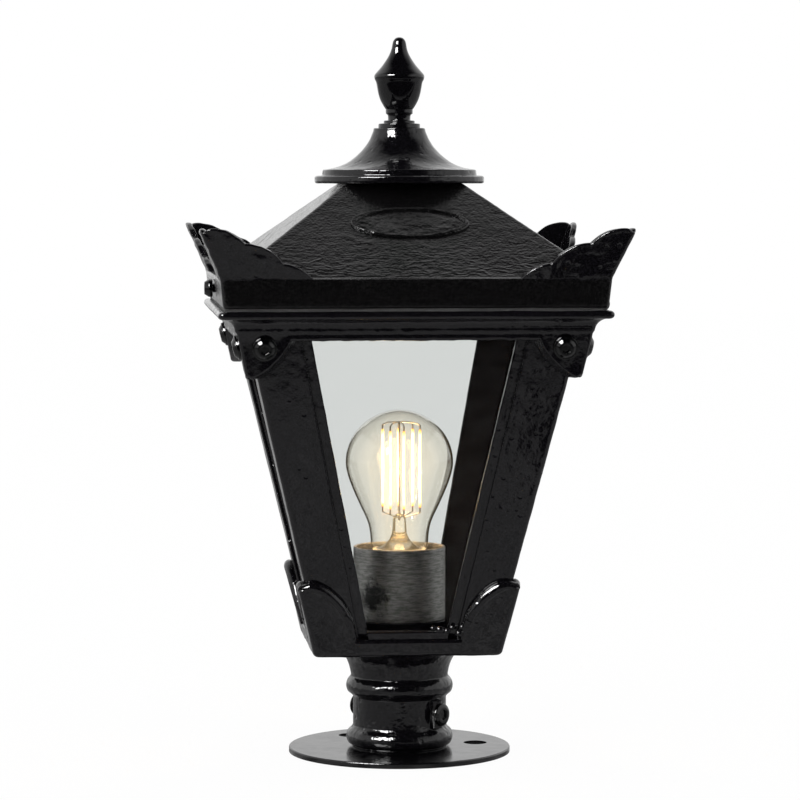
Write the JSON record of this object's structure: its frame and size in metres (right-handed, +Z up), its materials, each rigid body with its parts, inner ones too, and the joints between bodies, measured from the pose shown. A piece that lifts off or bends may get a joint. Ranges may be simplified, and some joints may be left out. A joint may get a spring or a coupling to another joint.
{
  "type": "pillar-top street lantern",
  "caption": "Tapered square street lantern with clear panes, corner crowns, hinged pyramid roof, vent cap and finial, on a short collar and round bolt-down plate.",
  "frame": {"origin": "centre of the base plate's underside, on the lantern's upright axis", "axes": "+Z up the lantern's axis, -Y the front with the oval plate, +X the roof hinge's side, -X the lock screw's side"},
  "size_m": [0.231, 0.231, 0.3987],
  "materials": {
    "cast_black_paint": "gloss black paint over rough sand-cast metal",
    "smooth_black_paint": "smooth gloss black paint",
    "black_screws": "gloss black painted screw heads",
    "steel_screws": "plain zinc-plated steel",
    "raw_metal": "raw brushed grey metal with stains",
    "brass": "plain brass",
    "bulb_cap_metal": "plated screw cap",
    "rubber": "soft black rubber",
    "holder_moulding": "glazed white moulding",
    "terminal_moulding": "plain pale moulding",
    "bulb_insulator": "black glass insulator",
    "pane_glass": "clear polished sheet",
    "bulb_glass": "clear blown glass",
    "glowing_filament": "warm lit filament coating"
  },
  "bodies": {
    "base": {"base_plate": "smooth_black_paint", "spigot": "smooth_black_paint", "cable_grommet": "rubber"},
    "lantern": {"collar": "cast_black_paint", "set_screws": "black_screws", "tray": "cast_black_paint", "tray_screws": "steel_screws", "post_back_right": "cast_black_paint", "post_back_left": "cast_black_paint", "post_front_left": "cast_black_paint", "post_front_right": "cast_black_paint", "head_frame": "cast_black_paint", "frame_hinge_leaves": "smooth_black_paint", "lug_screws": "black_screws", "pane_front": "pane_glass", "pane_right": "pane_glass", "pane_back": "pane_glass", "pane_left": "pane_glass", "pane_clips_low": "steel_screws", "pane_clips_high": "steel_screws", "lamp_pad": "cast_black_paint", "pad_screws": "steel_screws", "lamp_cup": "raw_metal", "nipple": "steel_screws", "nipple_nut": "steel_screws", "lampholder": "holder_moulding", "lampholder_thread": "brass", "lampholder_contact": "brass", "terminal_block": "terminal_moulding", "earth_screw": "brass", "roof_gasket": "rubber"},
    "roof": {"roof": "cast_black_paint", "crown_back_right": "cast_black_paint", "crown_back_left": "cast_black_paint", "crown_front_left": "cast_black_paint", "crown_front_right": "cast_black_paint", "oval_plate": "cast_black_paint", "vent_cap": "cast_black_paint", "finial": "smooth_black_paint", "roof_bridge": "steel_screws", "stud_nut": "steel_screws", "finial_stud": "steel_screws", "roof_hinge_leaf": "smooth_black_paint", "hinge_pin": "steel_screws"},
    "lock_screw": {"lock_screw": "black_screws"},
    "bulb": {"bulb_glass": "bulb_glass", "bulb_cap": "bulb_cap_metal", "bulb_tip": "bulb_insulator", "bulb_stem": "bulb_glass", "bulb_filaments": "glowing_filament", "filament_frame": "steel_screws"}
  },
  "joints": [
    {"name": "lantern_swivel", "type": "hinge", "parent": "base", "child": "lantern", "pos_m": [0, 0, 0.023], "axis": [0, 0, 1], "range_deg": [-180, 180]},
    {"name": "roof_hinge", "type": "hinge", "parent": "lantern", "child": "roof", "pos_m": [0.11033, 0, 0.25145], "axis": [0, 1, 0], "range_deg": [0, 105]},
    {"name": "roof_lock_screw", "type": "slide", "parent": "roof", "child": "lock_screw", "axis": [-1, 0, 0], "range_m": [0, 0.006]},
    {"name": "bulb_lift", "type": "slide", "parent": "lantern", "child": "bulb", "axis": [0, 0, 1], "range_m": [0, 0.03]}
  ]
}
